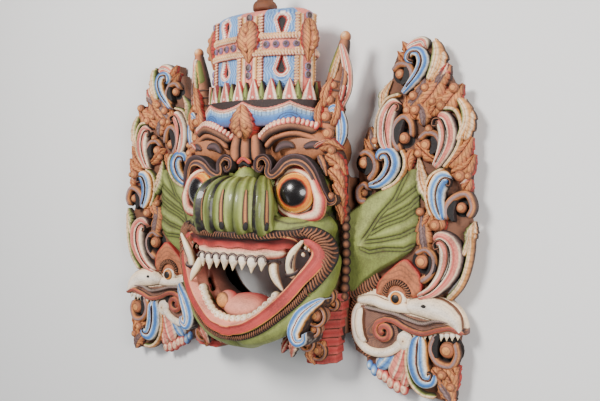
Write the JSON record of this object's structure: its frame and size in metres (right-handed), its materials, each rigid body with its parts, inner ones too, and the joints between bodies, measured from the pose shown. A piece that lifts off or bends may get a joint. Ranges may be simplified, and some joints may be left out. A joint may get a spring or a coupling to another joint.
{
  "type": "barong mask",
  "caption": "Carved and painted wooden mask of a fanged demon face with a tall crown, horns and two scrolled wings that end in bird heads.",
  "frame": {"origin": "under the middle of the mask, at the level of its back", "axes": "+X across the face towards the right-hand wing, +Y from the chin to the crown, +Z out of the face"},
  "size_m": [0.6282, 0.5828, 0.1576],
  "materials": {
    "face_paint": "green, red and cream paint, worn, slightly glossy",
    "wing_paint": "chalky pink, blue, brown and ochre paint in fine stripes",
    "bare_wood": "stained brown, satin"
  },
  "bodies": {
    "root": {"mask_face": "face_paint", "wing_left": "wing_paint", "wing_right": "wing_paint", "crown_finial": "bare_wood"}
  },
  "joints": []
}
